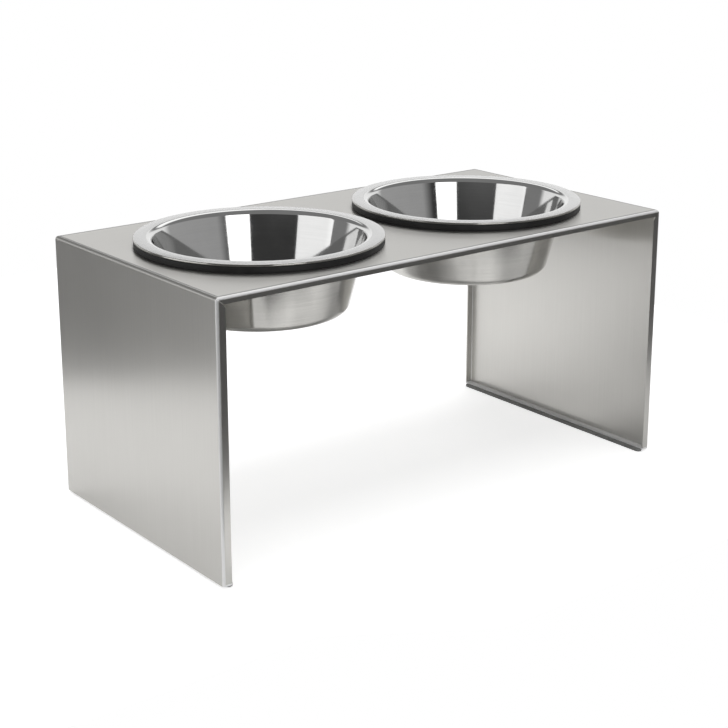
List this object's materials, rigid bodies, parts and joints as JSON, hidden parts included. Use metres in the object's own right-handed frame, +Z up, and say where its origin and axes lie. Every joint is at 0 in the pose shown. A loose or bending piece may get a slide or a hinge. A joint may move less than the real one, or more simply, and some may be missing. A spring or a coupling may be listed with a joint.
{
  "type": "raised pet feeder",
  "caption": "Low bench folded from brushed steel sheet, open at front and back, whose top holds round lift-out feeding bowls side by side on black rubber rings.",
  "frame": {"origin": "on the ground under the middle of the bench, midway between the legs and midway from front to back", "axes": "+X along the bench towards its right leg, seen from the front; -Y is the front; +Z up, the way the bowls lift out"},
  "size_m": [0.4226, 0.22, 0.2113],
  "materials": {
    "brushed_sheet": "fine straight brushing, satin",
    "polished_bowl": "stainless steel, mirror polished inside, satin outside, circular brushing on the rim",
    "ring_rubber": "smooth black rubber, slight sheen",
    "foot_rubber": "matt dark grey rubber"
  },
  "bodies": {
    "stand": {"bench": "brushed_sheet", "ring_left": "ring_rubber", "ring_right": "ring_rubber", "foot_strip_left": "foot_rubber", "foot_strip_right": "foot_rubber"},
    "left_bowl": {"bowl_left": "polished_bowl"},
    "right_bowl": {"bowl_right": "polished_bowl"}
  },
  "joints": [
    {"name": "bowl_left_lift", "type": "slide", "parent": "stand", "child": "left_bowl", "axis": [0, 0, 1], "range_m": [0, 0.075]},
    {"name": "bowl_right_lift", "type": "slide", "parent": "stand", "child": "right_bowl", "axis": [0, 0, 1], "range_m": [0, 0.075]}
  ]
}
